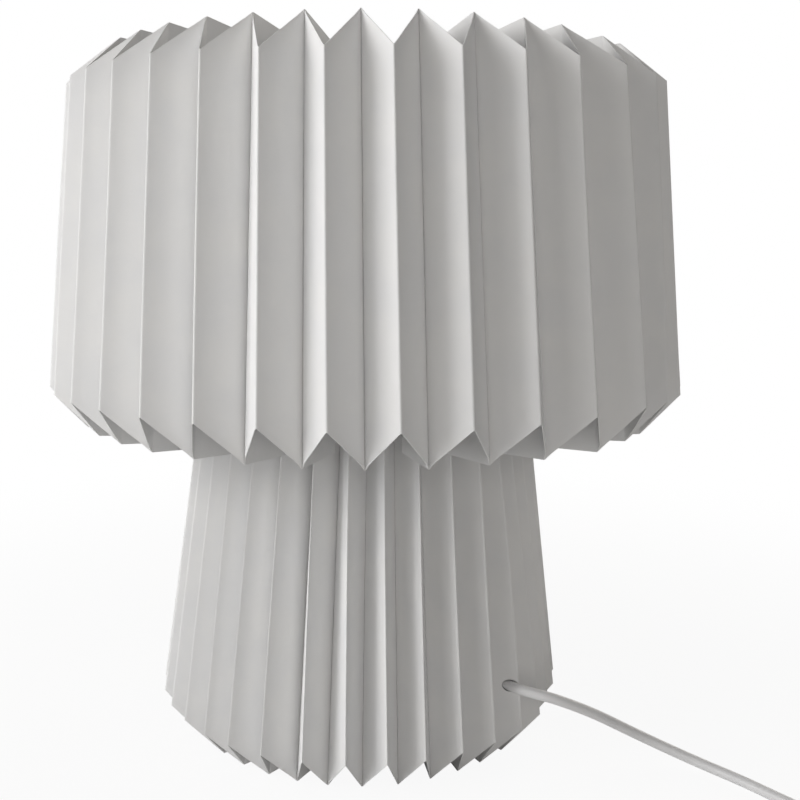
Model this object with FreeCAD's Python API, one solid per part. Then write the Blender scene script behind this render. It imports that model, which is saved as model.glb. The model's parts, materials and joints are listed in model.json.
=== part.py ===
"""Pleated paper table lamp, in millimetres, +Z up, standing on z = 0 round the Z axis.

A wide pleated paper shade sits over a narrower pleated paper foot. Inside, a steel disc, three rods
and a top plate carry a lampholder with an LED bulb, and a wire carrier on the lampholder holds the
shade. Azimuths are in degrees from the front (-Y) towards the right (+X).
"""
import FreeCAD, Part
import math
import os

Vector = FreeCAD.Vector
UP = Vector(0, 0, 1)
ORIGIN = Vector(0, 0, 0)
STEP_TOLERANCE = 0.01       # places this close together count as one
FLAT = 1e-7                 # corners this close to one plane are joined by a plane face

# ---------------------------------------------------------------- paper
PLEATS = 36                 # pleats round the shade, and as many round the foot
PAPER = 0.35                # thickness of the paper
GLUE = 0.15                 # glue line between the two layers of a fin
BEND = 4.5                  # how far before its valley a panel starts to curl into the fin

SHADE_STRIPS = 6            # strips of paper glued end to end round the shade
SHADE_HEIGHT = 210.0        # length of the shade's valley folds, the width of its strips
SHADE_LEAN = 5.8            # how far the shade's folds lean out towards the bottom, degrees
SHADE_VALLEY_R = 172.2      # valley radius at the bottom edge
SHADE_BOTTOM = 196.4        # height of the valley's lower end
SHADE_DEPTH = 22.0          # from valley to ridge
SHADE_CUT_LOW = 20.5        # corner cut off each ridge at the bottom, along the fold
SHADE_CUT_HIGH = 22.0       # corner cut off each ridge at the top, along the fold
SHADE_PHASE = 4.0           # azimuth of the first ridge right of the front

FOOT_STRIPS = 4
FOOT_GROUND = 0.5           # gap under the foot's paper
FOOT_TOP = 226.0            # height of the foot's upper paper edge
FOOT_LEAN = 7.1
FOOT_VALLEY_R = 109.2
FOOT_DEPTH = 22.5
FOOT_CUT = 21.0
FOOT_FIN = 30.0
FOOT_PHASE = 6.0

# ---------------------------------------------------------------- frame inside the foot
PAD_HEIGHT = 5.0            # rubber pads
PAD_R = 8.0
PAD_CIRCLE_RADIUS = 68.0
PAD_COUNT = 4
PAD_EDGE = 1.0
DISC_R = 84.0               # steel disc that weighs the lamp down
DISC_THICK = 6.0
DISC_EDGE = 1.0
RABBET_GAP = 0.3            # between a plate and the paper that it is glued to
ROD_R = 3.0
ROD_CIRCLE_RADIUS = 42.0
ROD_COUNT = 3
ROD_AZIMUTH = 15.0
ROD_FIT = 0.05              # radial clearance of every thread, drawn as a plain cylinder
ROD_DEPTH = 5.0             # how far a rod screws into the disc
PLATE_Z = 200.0             # underside of the top plate
PLATE_THICK = 3.0
PLATE_R = 62.0
M6_NUT_AF = 10.0
M6_NUT_HIGH = 5.0
ROD_END = 3.0               # rod that shows above its last nut

# ---------------------------------------------------------------- lampholder and its pipe
PIPE_R = 5.0                # short threaded pipe
PIPE_BORE_R = 4.0
PIPE_BELOW = 20.0           # pipe below the plate
PIPE_ABOVE = 12.0
PIPE_NUT_AF = 14.0
PIPE_NUT_HIGH = 4.0
PIPE_WASHER_R = 10.0
PIPE_WASHER_THICK = 1.0
GRIP_R = 8.0                # cord grip on the lower end of the pipe
GRIP_HIGH = 18.0
GRIP_WALL = 2.0
GRIP_SCREW_R = 2.0
GRIP_SCREW_HEAD_R = 3.0
GRIP_SCREW_HEAD = 2.0
HOLDER_WALL = 2.0
CAP_HIGH = 21.0             # lower half of the lampholder
CAP_NECK_R = 8.5
CAP_FLOOR = 4.0             # thickness of the cap round the pipe
HOLDER_R = 19.5             # outside of the lampholder's thread
SKIRT_HIGH = 34.0           # upper half of the lampholder
FLANGE_R = 23.5
FLANGE_THICK = 3.0
INSERT_HIGH = 16.0          # block that holds the contacts
INSERT_Z = 16.0             # block above the bottom of the cap
INSERT_GAP = 0.1
SHELL_R = 13.5              # bore of the brass screw shell
SHELL_THICK = 0.5
SHELL_HIGH = 22.0
STRAP_WIDE = 5.0
STRAP_THICK = 0.6
STRAP_PAST_SCREW = 2.5
TERMINAL_R = 1.75
TERMINAL_HEAD_R = 3.0
TERMINAL_HEAD = 1.5
TERMINAL_LONG = 6.0
TERMINAL_OFFSET = 8.5
WIRE_R = 1.1
WIRE_APART = 1.3
WIRE_BEND_LOW = 2.6         # where the wires spread, above the end of the flex
WIRE_BEND_HIGH = 7.0
COLLAR_R = 27.5             # ring that clamps the carrier
COLLAR_HIGH = 9.0
COLLAR_RIBS = 24
COLLAR_RIB_R = 1.0
COLLAR_GAP = 0.1

# ---------------------------------------------------------------- carrier
HUB_R = 27.0
HUB_THICK = 1.5
HUB_GAP = 0.4
ARM_R = 1.75
ARM_COUNT = 3
ARM_CLEAR = 0.3             # between the collar and the round part of an arm
ARM_AZIMUTH = 60.0
RIM_R = 103.3               # wire rim that the shade's fins sit on
RIM_WIRE_R = 2.0
RIM_GAP = 0.3
RIM_INSIDE_FOLD = 0.94      # how far the fins' inner folds start outside the rim's notch, at the bottom

# ---------------------------------------------------------------- LED bulb
BULB_CAP_R = 13.2
BULB_CAP_HIGH = 21.0
BULB_CAP_WALL = 0.4
BULB_NECK_R = 14.5
BULB_BODY_R = 25.5
BULB_BODY_HIGH = 34.0
BULB_R = 30.0               # opal ball
BULB_BALL_RISE = 18.0       # ball centre above the top of the body
BULB_WALL = 1.2
TIP_R = 4.5                 # centre contact
TIP_HIGH = 2.0
BOARD_THICK = 1.6
BOARD_GAP = 0.2
CHIP_COUNT = 10
CHIP_CIRCLE_RADIUS = 14.0
CHIP_SIZE = 3.0
CHIP_HIGH = 0.8

# ---------------------------------------------------------------- cord
CORD_D = 6.0
CORD_HOLE_R = 4.3           # hole in the paper
CORD_STRIP = 0              # strip of the foot with the hole
# from inside the lampholder down to the hole in the foot
FLEX_ROUTE = [(0, 0, 214), (0, 0, 152), (11, -10.5, 122), (30, -29, 91), (51, -49.5, 65), (64, -63, 51.5),
              (72.6, -73.7, 47.95), (77, -82.5, 48.5)]
# from the hole down to the floor and along it to the coil
LEAD_ROUTE = [(77, -82.5, 48.5), (81, -90.5, 49), (90.5, -97, 49), (104, -99, 46), (127, -92.5, 34),
              (148, -86, 20.5), (168, -85, 10), (190, -95, 3.3), (207, -113, 3), (222, -133, 3),
              (238, -152, 3), (256.5, -160, 3.1), (275, -160, 3.1)]
ARC_SHARE = 0.45            # of the shorter run that each end of an arc takes
COIL_CENTRE = (303.0, -118.0)
COIL_OUTER_R = 42.0         # middle of the outermost turn
COIL_INNER_R = 24.0         # middle of the innermost turn
COIL_LAYERS = 2
COIL_STUB = 28.0            # straight cord where it joins the coil
COIL_SKIN = 0.1             # the coil's solid stands this far outside its turns
TAIL_ROUTE = [(345, -90, 9.1), (345, -75.5, 9.1), (347.6, -61, 9.1)]            # coil to switch
PLUG_ROUTE = [(361.55, 16.8, 9.1), (363.4, 30, 7), (365.2, 43, 7)]              # switch to plug
COIL_EDGE = 2.0
TIE_WIDE = 12.0
TIE_THICK = 0.8
TIE_AZIMUTH = 250.0

SWITCH_LONG = 66.0
SWITCH_WIDE = 28.0
SWITCH_HIGH = 20.0
SWITCH_EDGE = 4.0
SWITCH_SEAM = 9.1           # height of the cord and of the joint between the switch's halves
SWITCH_WALL = 2.0
ROCKER_LONG = 18.0
ROCKER_WIDE = 11.0
ROCKER_HIGH = 7.0
ROCKER_PROUD = 1.6
ROCKER_TILT = 7.0           # rest position, one end pressed
ROCKER_GAP = 0.35
ROCKER_PIN_R = 1.2
ROCKER_PIN_LONG = 2.0
SWITCH_SCREW_R = 1.4
SWITCH_SCREW_HEAD_R = 2.6
SWITCH_SCREW_INSET = 24.0
SWITCH_SCREW_SIDE = 8.0

PLUG_LONG = 36.0
PLUG_WIDE = 35.0
PLUG_HIGH = 14.0
PLUG_NOSE_WIDE = 26.0
PLUG_EDGE = 4.0
PIN_R = 2.0
PIN_NECK_R = 1.5            # thinner root that is moulded into the plug
PIN_NECK_OUT = 0.5          # neck that shows outside the plug
PIN_TIP_ROUND = 1.2
PIN_LONG = 19.0
PIN_SPACING = 18.6
PIN_SEAT = 6.0
RELIEF_LONG = 22.0
RELIEF_R = 5.2
RELIEF_WALL = 1.0

# ---------------------------------------------------------------- places that follow from the sizes
DISC_TOP = PAD_HEIGHT + DISC_THICK
PLATE_TOP = PLATE_Z + PLATE_THICK
CAP_Z = PLATE_TOP + PIPE_WASHER_THICK + PIPE_NUT_HIGH
SKIRT_Z = CAP_Z + CAP_HIGH
SKIRT_TOP = SKIRT_Z + SKIRT_HIGH
HUB_Z = SKIRT_Z + FLANGE_THICK
RIM_Z = HUB_Z + HUB_THICK / 2
NOTCH_R = RIM_R + RIM_WIRE_R + RIM_GAP                   # notch in the shade's fins that takes the rim
NOTCH_TOP = RIM_Z + RIM_WIRE_R + RIM_GAP
# from the shade's valleys to its inner folds
SHADE_FIN = (SHADE_VALLEY_R - NOTCH_R - RIM_INSIDE_FOLD) / math.cos(math.radians(SHADE_LEAN))
INSERT_TOP = CAP_Z + INSERT_Z + INSERT_HIGH
STRAP_TOP = INSERT_TOP + STRAP_THICK
BULB_Z = STRAP_TOP + GLUE
BULB_CAP_Z = BULB_Z + TIP_HIGH
BULB_BODY_Z = BULB_CAP_Z + BULB_CAP_HIGH
BULB_BODY_TOP = BULB_BODY_Z + BULB_BODY_HIGH


def polar(radius, azimuth, z=0.0):
    """The point at a radius and an azimuth from the front."""
    angle = math.radians(azimuth)
    return Vector(radius * math.sin(angle), -radius * math.cos(angle), z)


def turned(shape, azimuth):
    """A copy of a shape, turned about the lamp's axis."""
    copy = shape.copy()
    copy.rotate(ORIGIN, UP, azimuth)
    return copy


def round_pattern(shape, count, start=0.0):
    """Copies of a shape evenly spaced round the axis."""
    return [turned(shape, start + 360.0 * k / count) for k in range(count)]


def cylinder(radius, low, high, centre=(0.0, 0.0)):
    return Part.makeCylinder(radius, high - low, Vector(centre[0], centre[1], low), UP)


def tube(outer, inner, low, high, centre=(0.0, 0.0)):
    return cylinder(outer, low, high, centre).cut(cylinder(inner, low, high, centre))


def revolve(profile):
    """A solid of revolution about Z, from its (radius, z) outline."""
    points = [Vector(r, 0, z) for r, z in profile]
    face = Part.Face(Part.makePolygon(points + points[:1]))
    return face.revolve(ORIGIN, UP, 360)


def hexagon(across_flats, low, high, centre=(0.0, 0.0)):
    corner = across_flats / 2 / math.cos(math.radians(30))
    points = [Vector(centre[0] + corner * math.cos(math.radians(60 * k)),
                     centre[1] + corner * math.sin(math.radians(60 * k)), low) for k in range(7)]
    return Part.Face(Part.makePolygon(points)).extrude(Vector(0, 0, high - low))


def nut(across_flats, bore, low, high, centre=(0.0, 0.0)):
    return hexagon(across_flats, low, high, centre).cut(cylinder(bore, low, high, centre))


def upright_edges(shape):
    return [edge for edge in shape.Edges
            if math.isclose(abs(edge.tangentAt(edge.FirstParameter).z), 1, rel_tol=FLAT)]


def level_edges(shape):
    return [edge for edge in shape.Edges
            if math.isclose(edge.BoundBox.ZMin, edge.BoundBox.ZMax, abs_tol=STEP_TOLERANCE)]


def placed(shape, origin, along):
    """A shape drawn along +X at the origin, laid along a level direction from a point."""
    copy = shape.copy()
    copy.rotate(ORIGIN, UP, math.degrees(math.atan2(along[1], along[0])))
    copy.translate(Vector(*origin))
    return copy


# ---------------------------------------------------------------- pleated paper
def fold_lines(valley_r, bottom, height, lean, depth, cut_low, cut_high, fin, level=False):
    """The (radius, z) ends of the inner fold, the valley and the ridge, low and high."""
    along = (-math.sin(math.radians(lean)), math.cos(math.radians(lean)))
    out = (math.cos(math.radians(lean)), math.sin(math.radians(lean)))

    def step(point, outward, upward):
        return (point[0] + out[0] * outward + along[0] * upward,
                point[1] + out[1] * outward + along[1] * upward)

    low = (valley_r, bottom)
    high = step(low, 0, height)
    lean_back = fin * math.tan(math.radians(lean)) if level else 0.0
    return {"low": (step(low, -fin, lean_back), low, step(low, depth, cut_low)),
            "high": (step(high, -fin, lean_back), high, step(high, depth, -cut_high))}


def half_pleat(lines, side):
    """Centre line of the paper from the inner fold to the ridge, beside a valley at azimuth 0.

    Each point is (outwards, sideways); side is +1 for the panel on the valley's right.
    """
    inner, valley, ridge = (point[0] for point in lines)
    apart = (GLUE + PAPER) / 2
    half_pitch = math.pi / PLEATS
    tip = (ridge * math.cos(half_pitch), ridge * math.sin(half_pitch))
    turn = math.atan2(tip[1] - apart, tip[0] - valley - BEND)
    bend_r = BEND / math.tan(turn / 2)
    points = [(inner, apart), (valley, apart),
              (valley + bend_r * math.sin(turn / 2), apart + bend_r * (1 - math.cos(turn / 2))),
              (valley + BEND + BEND * math.cos(turn), apart + BEND * math.sin(turn)), tip]
    return [(out, side * across) for out, across in points]


def strip_line(lines, pleats, start):
    """Centre line of a strip of several pleats in plan, with each point's height on this edge."""
    radii = [point[0] for point in lines]
    heights = [point[1] for point in lines]
    pitch = 360.0 / PLEATS
    line = []
    for k in range(pleats):
        left = half_pleat(lines, 1)
        right = half_pleat(lines, -1)[-2::-1]
        line += [(point, start + k * pitch) for point in left]
        line += [(point, start + (k + 1) * pitch) for point in right]
    found = []
    for (out, across), azimuth in line:
        angle = math.radians(azimuth)
        radius = min(math.hypot(out, across), radii[2])
        inside = radius <= radii[1]
        near, far = (0, 1) if inside else (1, 2)
        share = (radius - radii[near]) / (radii[far] - radii[near])
        height = heights[near] + share * (heights[far] - heights[near])
        found.append((out * math.sin(angle) + across * math.cos(angle),
                      across * math.sin(angle) - out * math.cos(angle), height))
    return found


def offset_line(line, distance):
    """The line moved sideways by a distance, with mitred corners, each point at its own height."""
    moved = []
    for k, (x, y, z) in enumerate(line):
        normals = []
        for a, b in ((k - 1, k), (k, k + 1)):
            if a >= 0 and b < len(line):
                dx, dy = line[b][0] - line[a][0], line[b][1] - line[a][1]
                size = math.hypot(dx, dy)
                normals.append((-dy / size, dx / size))
        nx = sum(n[0] for n in normals)
        ny = sum(n[1] for n in normals)
        scale = distance * len(normals) / (nx * nx + ny * ny)
        moved.append(Vector(x + nx * scale, y + ny * scale, z))
    return moved


def panel(a, b, c, d):
    """The face between the edges a-b and d-c."""
    normal = (b - a).cross(d - a)
    if abs((c - a).dot(normal)) < FLAT * normal.Length:
        return Part.Face(Part.makePolygon([a, b, c, d, a]))
    return Part.makeRuledSurface(Part.LineSegment(a, b).toShape(), Part.LineSegment(d, c).toShape())


def paper_strip(lines, pleats, start):
    """One folded strip of paper as a closed solid of even thickness."""
    edges = {}
    for end in ("low", "high"):
        line = strip_line(lines[end], pleats, start)
        edges[end] = (offset_line(line, PAPER / 2), offset_line(line, -PAPER / 2))
    faces = []
    count = len(edges["low"][0])
    for side in (0, 1):
        low, high = edges["low"][side], edges["high"][side]
        faces += [panel(low[k], low[k + 1], high[k + 1], high[k]) for k in range(count - 1)]
    for end in ("low", "high"):
        one, other = edges[end]
        faces += [panel(one[k], one[k + 1], other[k + 1], other[k]) for k in range(count - 1)]
    for k in (0, count - 1):
        faces.append(panel(edges["low"][0][k], edges["low"][1][k], edges["high"][1][k],
                           edges["high"][0][k]))
    shell = Part.makeShell(faces)
    shell.sewShape()
    solid = Part.Solid(Part.Shell(shell.Faces))
    if solid.Volume < 0:
        solid.reverse()
    return solid


def make_shade():
    lines = fold_lines(SHADE_VALLEY_R, SHADE_BOTTOM, SHADE_HEIGHT, SHADE_LEAN, SHADE_DEPTH,
                       SHADE_CUT_LOW, SHADE_CUT_HIGH, SHADE_FIN)
    pleats = PLEATS // SHADE_STRIPS
    strip = paper_strip(lines, pleats, SHADE_PHASE - 180.0 / PLEATS)
    # the fins' inner edges are notched, and the step at the top of the notch sits on the rim
    strip = strip.cut(cylinder(NOTCH_R, SHADE_BOTTOM - SHADE_FIN, NOTCH_TOP))
    return [turned(strip, 360.0 * k / SHADE_STRIPS) for k in range(SHADE_STRIPS)]


def make_foot():
    height = (FOOT_TOP - FOOT_GROUND) / math.cos(math.radians(FOOT_LEAN))
    lines = fold_lines(FOOT_VALLEY_R, FOOT_GROUND, height, FOOT_LEAN, FOOT_DEPTH,
                       FOOT_CUT, FOOT_CUT, FOOT_FIN, level=True)
    pleats = PLEATS // FOOT_STRIPS
    strip = paper_strip(lines, pleats, FOOT_PHASE - 180.0 / PLEATS)
    # rabbets in the fins' inner corners for the disc and the plate
    strip = strip.cut(cylinder(DISC_R + RABBET_GAP, 0, DISC_TOP))
    strip = strip.cut(cylinder(PLATE_R + RABBET_GAP, PLATE_Z, FOOT_TOP + 1))
    strips = [turned(strip, 360.0 * k / FOOT_STRIPS) for k in range(FOOT_STRIPS)]
    way = (Vector(*LEAD_ROUTE[1]) - Vector(*LEAD_ROUTE[0])).normalize()
    reach = 2 * CORD_D
    hole = Part.makeCylinder(CORD_HOLE_R, 2 * reach, Vector(*LEAD_ROUTE[0]) - way * reach, way)
    strips[CORD_STRIP] = strips[CORD_STRIP].cut(hole)
    return strips


# ---------------------------------------------------------------- frame inside the foot
def make_pads():
    pad = Part.makeCylinder(PAD_R, PAD_HEIGHT, polar(PAD_CIRCLE_RADIUS, 0), UP)
    bottom = min(pad.Edges, key=lambda edge: edge.BoundBox.ZMax)
    return round_pattern(pad.makeChamfer(PAD_EDGE, [bottom]), PAD_COUNT, 180.0 / PAD_COUNT)


def make_disc():
    profile = [(0, PAD_HEIGHT), (DISC_R - DISC_EDGE, PAD_HEIGHT), (DISC_R, PAD_HEIGHT + DISC_EDGE),
               (DISC_R, DISC_TOP - DISC_EDGE), (DISC_R - DISC_EDGE, DISC_TOP), (0, DISC_TOP)]
    disc = revolve(profile)
    bottom = polar(ROD_CIRCLE_RADIUS, 0, DISC_TOP - ROD_DEPTH)
    hole = Part.makeCylinder(ROD_R + ROD_FIT, ROD_DEPTH, bottom, UP)
    for cut in round_pattern(hole, ROD_COUNT, ROD_AZIMUTH):
        disc = disc.cut(cut)
    return disc


def make_rods():
    low = DISC_TOP - ROD_DEPTH
    high = PLATE_TOP + M6_NUT_HIGH + ROD_END
    rod = Part.makeCylinder(ROD_R, high - low, polar(ROD_CIRCLE_RADIUS, 0, low), UP)
    return round_pattern(rod, ROD_COUNT, ROD_AZIMUTH)


def make_rod_nuts():
    levels = [DISC_TOP, PLATE_Z - M6_NUT_HIGH, PLATE_TOP]
    nuts = []
    for low in levels:
        one = nut(M6_NUT_AF, ROD_R + ROD_FIT, low, low + M6_NUT_HIGH, (0, -ROD_CIRCLE_RADIUS))
        nuts += round_pattern(one, ROD_COUNT, ROD_AZIMUTH)
    return nuts


def make_plate():
    plate = cylinder(PLATE_R, PLATE_Z, PLATE_TOP)
    plate = plate.cut(cylinder(PIPE_R + ROD_FIT, PLATE_Z, PLATE_TOP))
    hole = Part.makeCylinder(ROD_R + ROD_FIT, PLATE_THICK, polar(ROD_CIRCLE_RADIUS, 0, PLATE_Z), UP)
    for cut in round_pattern(hole, ROD_COUNT, ROD_AZIMUTH):
        plate = plate.cut(cut)
    return plate


# ---------------------------------------------------------------- lampholder and its pipe
def make_pipe():
    return tube(PIPE_R, PIPE_BORE_R, PLATE_Z - PIPE_BELOW, PLATE_TOP + PIPE_ABOVE)


def make_pipe_nuts():
    bore = PIPE_R + ROD_FIT
    above = PLATE_TOP + PIPE_WASHER_THICK
    return [nut(PIPE_NUT_AF, bore, PLATE_Z - PIPE_NUT_HIGH, PLATE_Z),
            nut(PIPE_NUT_AF, bore, above, above + PIPE_NUT_HIGH)]


def make_pipe_washer():
    return tube(PIPE_WASHER_R, PIPE_R + ROD_FIT, PLATE_TOP, PLATE_TOP + PIPE_WASHER_THICK)


def grip_range():
    high = PLATE_Z - PIPE_BELOW + GRIP_HIGH / 2
    return high - GRIP_HIGH, high


def make_grip():
    low, high = grip_range()
    pipe_end = PLATE_Z - PIPE_BELOW
    body = revolve([(CORD_D / 2 + ROD_FIT, low), (GRIP_R - GRIP_WALL / 2, low), (GRIP_R, low + GRIP_WALL / 2),
                    (GRIP_R, high), (PIPE_R + ROD_FIT, high), (PIPE_R + ROD_FIT, pipe_end),
                    (CORD_D / 2 + ROD_FIT, pipe_end)])
    hole = Part.makeCylinder(GRIP_SCREW_R + ROD_FIT, GRIP_R, Vector(0, 0, grip_screw_z()), Vector(-1, 0, 0))
    return body.cut(hole)


def grip_screw_z():
    low, high = grip_range()
    return low + GRIP_HIGH / 4


def make_grip_screw():
    tip = CORD_D / 2 + ROD_FIT
    shank = Part.makeCylinder(GRIP_SCREW_R, GRIP_R - tip, Vector(-tip, 0, grip_screw_z()), Vector(-1, 0, 0))
    head = Part.makeCylinder(GRIP_SCREW_HEAD_R, GRIP_SCREW_HEAD, Vector(-GRIP_R, 0, grip_screw_z()),
                             Vector(-1, 0, 0))
    return shank.fuse(head).removeSplitter()


def make_cap():
    wall = HOLDER_WALL
    outline = [(PIPE_R + ROD_FIT, CAP_Z), (CAP_NECK_R, CAP_Z), (HOLDER_R, CAP_Z + CAP_HIGH / 2),
               (HOLDER_R, SKIRT_Z), (HOLDER_R - wall, SKIRT_Z),
               (HOLDER_R - wall, CAP_Z + CAP_HIGH / 2 + wall), (CAP_NECK_R, CAP_Z + CAP_FLOOR),
               (PIPE_R + ROD_FIT, CAP_Z + CAP_FLOOR)]
    return revolve(outline)


def terminal_place(side):
    return Vector(side * TERMINAL_OFFSET, 0, INSERT_TOP)


def make_insert():
    radius = HOLDER_R - HOLDER_WALL - INSERT_GAP
    block = cylinder(radius, CAP_Z + INSERT_Z, INSERT_TOP)
    for side in (-1, 1):
        place = terminal_place(side)
        block = block.cut(Part.makeCylinder(TERMINAL_R + ROD_FIT, TERMINAL_LONG, place, -UP))
        block = block.cut(Part.makeCylinder(WIRE_R + ROD_FIT, INSERT_HIGH, place, -UP))
    return block


def strap(start, end, side):
    """A flat brass strap on the block, with a hole for its terminal screw."""
    box = Part.makeBox(end - start, STRAP_WIDE, STRAP_THICK, Vector(start, -STRAP_WIDE / 2, INSERT_TOP))
    return box.cut(Part.makeCylinder(TERMINAL_R + ROD_FIT, STRAP_THICK, terminal_place(side), UP))


def make_contacts():
    """The tongue under the bulb's tip and the strap that feeds the screw shell."""
    tongue = strap(-TIP_R, TERMINAL_OFFSET + STRAP_PAST_SCREW, 1)
    shell_strap = strap(-SHELL_R - SHELL_THICK, -TERMINAL_OFFSET + STRAP_PAST_SCREW, -1)
    return [tongue, shell_strap]


def make_terminals():
    screws = []
    for side in (-1, 1):
        place = terminal_place(side)
        shank = Part.makeCylinder(TERMINAL_R, TERMINAL_LONG + STRAP_THICK,
                                  place - UP * TERMINAL_LONG, UP)
        head = Part.makeCylinder(TERMINAL_HEAD_R, TERMINAL_HEAD, place + UP * STRAP_THICK, UP)
        screws.append(shank.fuse(head).removeSplitter())
    return screws


def make_screw_shell():
    return tube(SHELL_R + SHELL_THICK, SHELL_R, STRAP_TOP, STRAP_TOP + SHELL_HIGH)


def make_skirt():
    bore = SHELL_R + SHELL_THICK + ROD_FIT
    shoulder = STRAP_TOP + GLUE
    outline = [(bore, shoulder), (HOLDER_R - HOLDER_WALL, shoulder),
               (HOLDER_R - HOLDER_WALL, SKIRT_Z), (FLANGE_R, SKIRT_Z), (FLANGE_R, HUB_Z),
               (HOLDER_R, HUB_Z), (HOLDER_R, SKIRT_TOP), (bore, SKIRT_TOP)]
    return revolve(outline)


def make_collar():
    low = HUB_Z + HUB_THICK + COLLAR_GAP
    ring = tube(COLLAR_R, HOLDER_R + ROD_FIT, low, low + COLLAR_HIGH)
    rib = Part.makeCylinder(COLLAR_RIB_R, COLLAR_HIGH, polar(COLLAR_R, 0, low), UP)
    return ring.fuse(round_pattern(rib, COLLAR_RIBS)).removeSplitter()


# ---------------------------------------------------------------- carrier
def make_carrier():
    hub = tube(HUB_R, HOLDER_R + HUB_GAP, HUB_Z, HUB_Z + HUB_THICK)
    rim = Part.makeTorus(RIM_R, RIM_WIRE_R, Vector(0, 0, RIM_Z), UP)
    start = COLLAR_R + COLLAR_RIB_R + ARM_CLEAR
    arm = Part.makeCylinder(ARM_R, RIM_R - start, polar(start, 0, RIM_Z), polar(1, 0))
    # the arms' inner ends are pressed flat to the hub's thickness
    flat = Part.makeBox(2 * ARM_R, start + ARM_R, HUB_THICK, Vector(-ARM_R, -start - ARM_R, HUB_Z))
    flat = flat.cut(cylinder(HOLDER_R + HUB_GAP, HUB_Z, HUB_Z + HUB_THICK))
    return hub.fuse([rim] + round_pattern(arm.fuse(flat), ARM_COUNT, ARM_AZIMUTH)).removeSplitter()


# ---------------------------------------------------------------- LED bulb
def make_bulb_tip():
    return revolve([(0, BULB_Z), (TIP_R / 2, BULB_Z), (TIP_R, BULB_CAP_Z), (0, BULB_CAP_Z)])


def make_bulb_cap():
    wall = BULB_CAP_WALL
    taper = BULB_CAP_Z + (BULB_CAP_R - TIP_R) / 2
    return revolve([(TIP_R, BULB_CAP_Z), (BULB_CAP_R, taper), (BULB_CAP_R, BULB_BODY_Z),
                    (BULB_CAP_R - wall, BULB_BODY_Z), (BULB_CAP_R - wall, taper + wall),
                    (TIP_R, BULB_CAP_Z + 2 * wall)])


def make_bulb_body():
    wall = BULB_WALL
    return revolve([(BULB_CAP_R - 2 * wall, BULB_BODY_Z), (BULB_NECK_R, BULB_BODY_Z),
                    (BULB_NECK_R, BULB_BODY_Z + 2 * wall), (BULB_BODY_R, BULB_BODY_TOP),
                    (BULB_BODY_R - wall, BULB_BODY_TOP), (BULB_NECK_R - 2 * wall, BULB_BODY_Z + 3 * wall),
                    (BULB_CAP_R - 2 * wall, BULB_BODY_Z + wall)])


def make_bulb_ball():
    centre = Vector(0, 0, BULB_BODY_TOP + BULB_BALL_RISE)
    ball = Part.makeSphere(BULB_R, centre).cut(Part.makeSphere(BULB_R - BULB_WALL, centre))
    return ball.common(cylinder(2 * BULB_R, BULB_BODY_TOP, BULB_BODY_TOP + 3 * BULB_R))


def make_board():
    rim = BULB_BODY_R - BULB_WALL
    slope = (rim - BULB_NECK_R + 2 * BULB_WALL) / (BULB_BODY_HIGH - 3 * BULB_WALL)
    board_r = rim - slope * BOARD_THICK - BOARD_GAP
    board = cylinder(board_r, BULB_BODY_TOP - BOARD_THICK, BULB_BODY_TOP)
    chip = Part.makeBox(CHIP_SIZE, CHIP_SIZE, CHIP_HIGH,
                        Vector(-CHIP_SIZE / 2, -CHIP_CIRCLE_RADIUS - CHIP_SIZE / 2, BULB_BODY_TOP))
    return board, round_pattern(chip, CHIP_COUNT)


# ---------------------------------------------------------------- cord
def cord_tube(route, radius=CORD_D / 2):
    """A round cord along straight runs joined by tangent arcs, with its length and its arcs' radii.

    Each arc is as large as its two runs allow.
    """
    points = [Vector(*p) for p in route]
    edges = []
    bends = []
    at = points[0]
    for before, corner, after in zip(points, points[1:], points[2:]):
        back = (before - corner).normalize()
        ahead = (after - corner).normalize()
        half_turn = (math.pi - back.getAngle(ahead)) / 2
        tangent = ARC_SHARE * min(before.distanceToPoint(corner), after.distanceToPoint(corner))
        bends.append(tangent / math.tan(half_turn))
        start = corner + back * tangent
        end = corner + ahead * tangent
        middle = corner + (back + ahead).normalize() * bends[-1] * (1 / math.cos(half_turn) - 1)
        edges.append(Part.LineSegment(at, start).toShape())
        edges.append(Part.Arc(start, middle, end).toShape())
        at = end
    edges.append(Part.LineSegment(at, points[-1]).toShape())
    path = Part.Wire(edges)
    ring = Part.Wire([Part.makeCircle(radius, points[0], (points[1] - points[0]).normalize())])
    solid = path.makePipeShell([ring], True, True)
    return solid, path.Length, bends


def coil_height(layer):
    return CORD_D * (layer + 0.5) + COIL_SKIN


def make_coil():
    """The outer shape of the coil, with a straight end of cord on its front and on its right."""
    half = CORD_D / 2
    x, y = COIL_CENTRE
    outer = COIL_OUTER_R + half + COIL_SKIN
    inner = COIL_INNER_R - half - COIL_SKIN
    high = COIL_LAYERS * CORD_D + 2 * COIL_SKIN
    ring = revolve([(inner, COIL_EDGE), (inner + COIL_EDGE, 0), (outer - COIL_EDGE, 0), (outer, COIL_EDGE),
                    (outer, high - COIL_EDGE), (outer - COIL_EDGE, high), (inner + COIL_EDGE, high),
                    (inner, high - COIL_EDGE)])
    ring.translate(Vector(x, y, 0))
    stub_in = Part.makeCylinder(half, COIL_STUB, Vector(x - COIL_STUB, y - COIL_OUTER_R, coil_height(0)),
                                Vector(1, 0, 0))
    stub_out = Part.makeCylinder(half, COIL_STUB, Vector(x + COIL_OUTER_R, y, coil_height(COIL_LAYERS - 1)),
                                 Vector(0, 1, 0))
    return ring.fuse([stub_in, stub_out]).cut(make_tie()).removeSplitter()


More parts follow.
